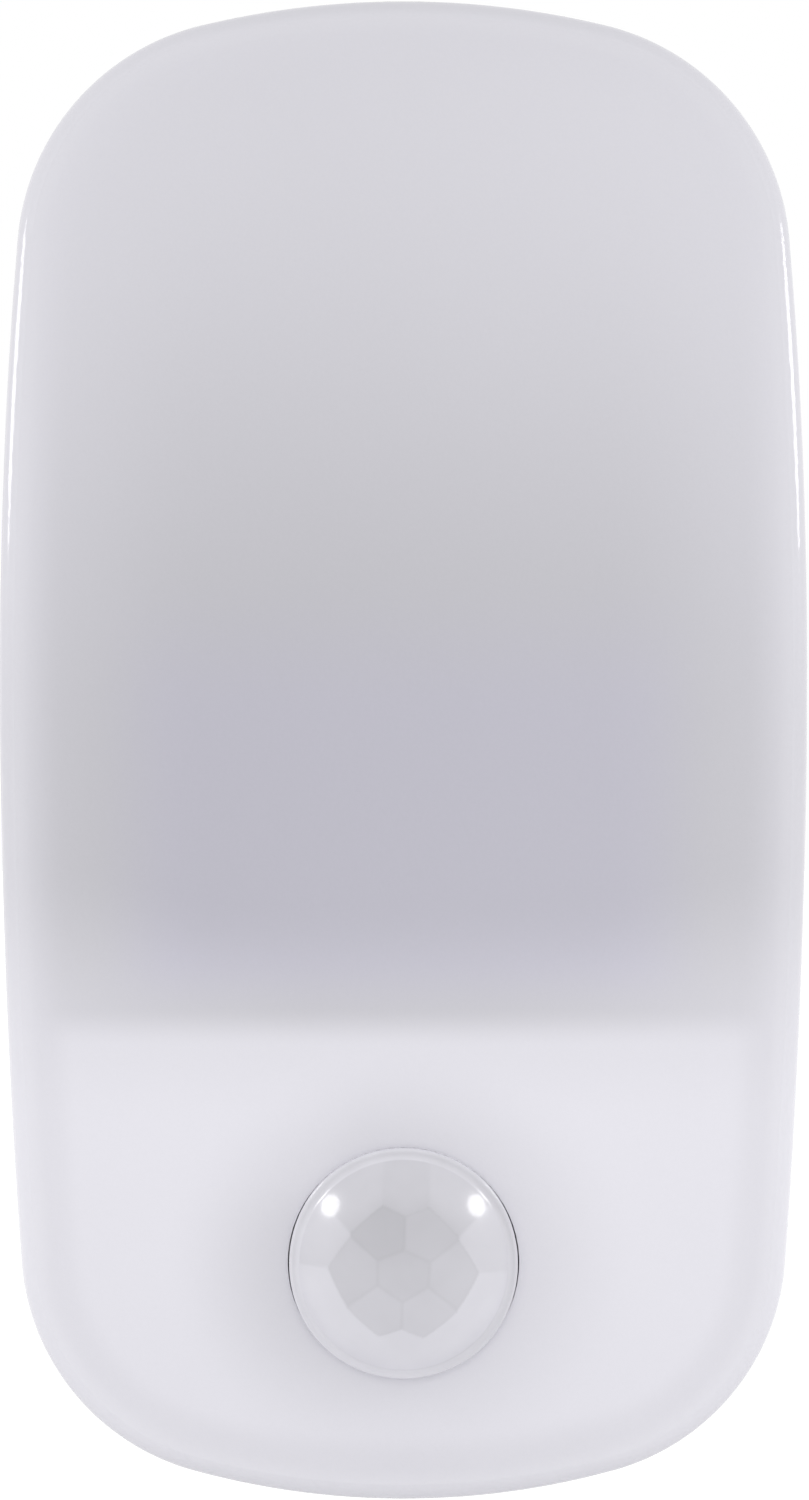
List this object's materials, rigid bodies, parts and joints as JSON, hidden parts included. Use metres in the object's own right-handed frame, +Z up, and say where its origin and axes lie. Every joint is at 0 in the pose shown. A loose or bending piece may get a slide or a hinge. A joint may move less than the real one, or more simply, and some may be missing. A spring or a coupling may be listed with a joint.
{
  "type": "plug-in night light",
  "caption": "Plug-in night light: upright rounded opal cover with a domed motion-sensor lens low on its front, a rear casing with flat plug blades and a slide switch in its side.",
  "frame": {"origin": "on the back face of the casing, which seats on the wall plate, midway between the two plug blades", "axes": "+Z up, +Y into the wall along the blades, +X to the right of someone facing the lens; the light shines towards -Y"},
  "size_m": [0.057, 0.0508, 0.106],
  "materials": {
    "opal_cover": "fine satin gloss, opal",
    "casing_white": "fine satin texture",
    "lens_milky": "milky polyethylene, smooth outside",
    "inner_white": "satin",
    "board_green": "solder mask over glass-epoxy",
    "board_white": "white solder mask",
    "led_white": "moulded",
    "phosphor": "silicone with phosphor",
    "tinned_wire": "tinned",
    "black_plastic": "moulded",
    "can_nickel": "nickel plated",
    "filter_dark": "infra-red filter, polished",
    "clear_epoxy": "clear",
    "film_yellow": "box moulding",
    "sleeve_black": "shrunk sleeve",
    "fuse_green": "lacquered ceramic",
    "varistor_blue": "epoxy dip",
    "chip_body": "moulded",
    "resistor_black": "glazed ceramic",
    "plated_brass": "nickel plated",
    "screw_steel": "zinc plated",
    "knob_white": "satin",
    "phenolic": "laminate",
    "spring_steel": "bright"
  },
  "bodies": {
    "housing": {"front_cover": "opal_cover", "rear_casing": "casing_white", "pir_lens": "lens_milky", "lens_ring": "inner_white", "light_tray": "inner_white", "sensor_panel": "inner_white", "main_board": "board_green", "led_board": "board_white", "led_packages": "led_white", "led_phosphors": "phosphor", "link_pins": "tinned_wire", "link_strip": "black_plastic", "pir_can": "can_nickel", "pir_window": "filter_dark", "pir_header": "can_nickel", "pir_pins": "tinned_wire", "pir_standoff": "black_plastic", "light_sensor": "clear_epoxy", "light_sensor_leads": "tinned_wire", "film_capacitor": "film_yellow", "bulk_capacitor": "sleeve_black", "bulk_capacitor_leads": "tinned_wire", "fuse_resistor": "fuse_green", "fuse_leads": "tinned_wire", "varistor": "varistor_blue", "varistor_leads": "tinned_wire", "control_chip": "chip_body", "control_chip_leads": "tinned_wire", "driver_chip": "chip_body", "driver_chip_leads": "tinned_wire", "rectifier": "chip_body", "rectifier_leads": "tinned_wire", "chip_resistors": "resistor_black", "chip_resistor_caps": "tinned_wire", "blade_left": "plated_brass", "blade_right": "plated_brass", "blade_holder": "inner_white", "holder_screws": "screw_steel", "casing_screws": "screw_steel", "switch_frame": "spring_steel", "switch_base": "phenolic", "switch_pins": "tinned_wire"},
    "mode_switch": {"switch_knob": "knob_white", "switch_slider": "black_plastic", "contact_clip": "plated_brass", "detent_ball": "spring_steel", "detent_spring": "spring_steel"}
  },
  "joints": [
    {"name": "mode_slide", "type": "slide", "parent": "housing", "child": "mode_switch", "axis": [0, 0, 1], "range_m": [-0.002, 0.002]}
  ]
}
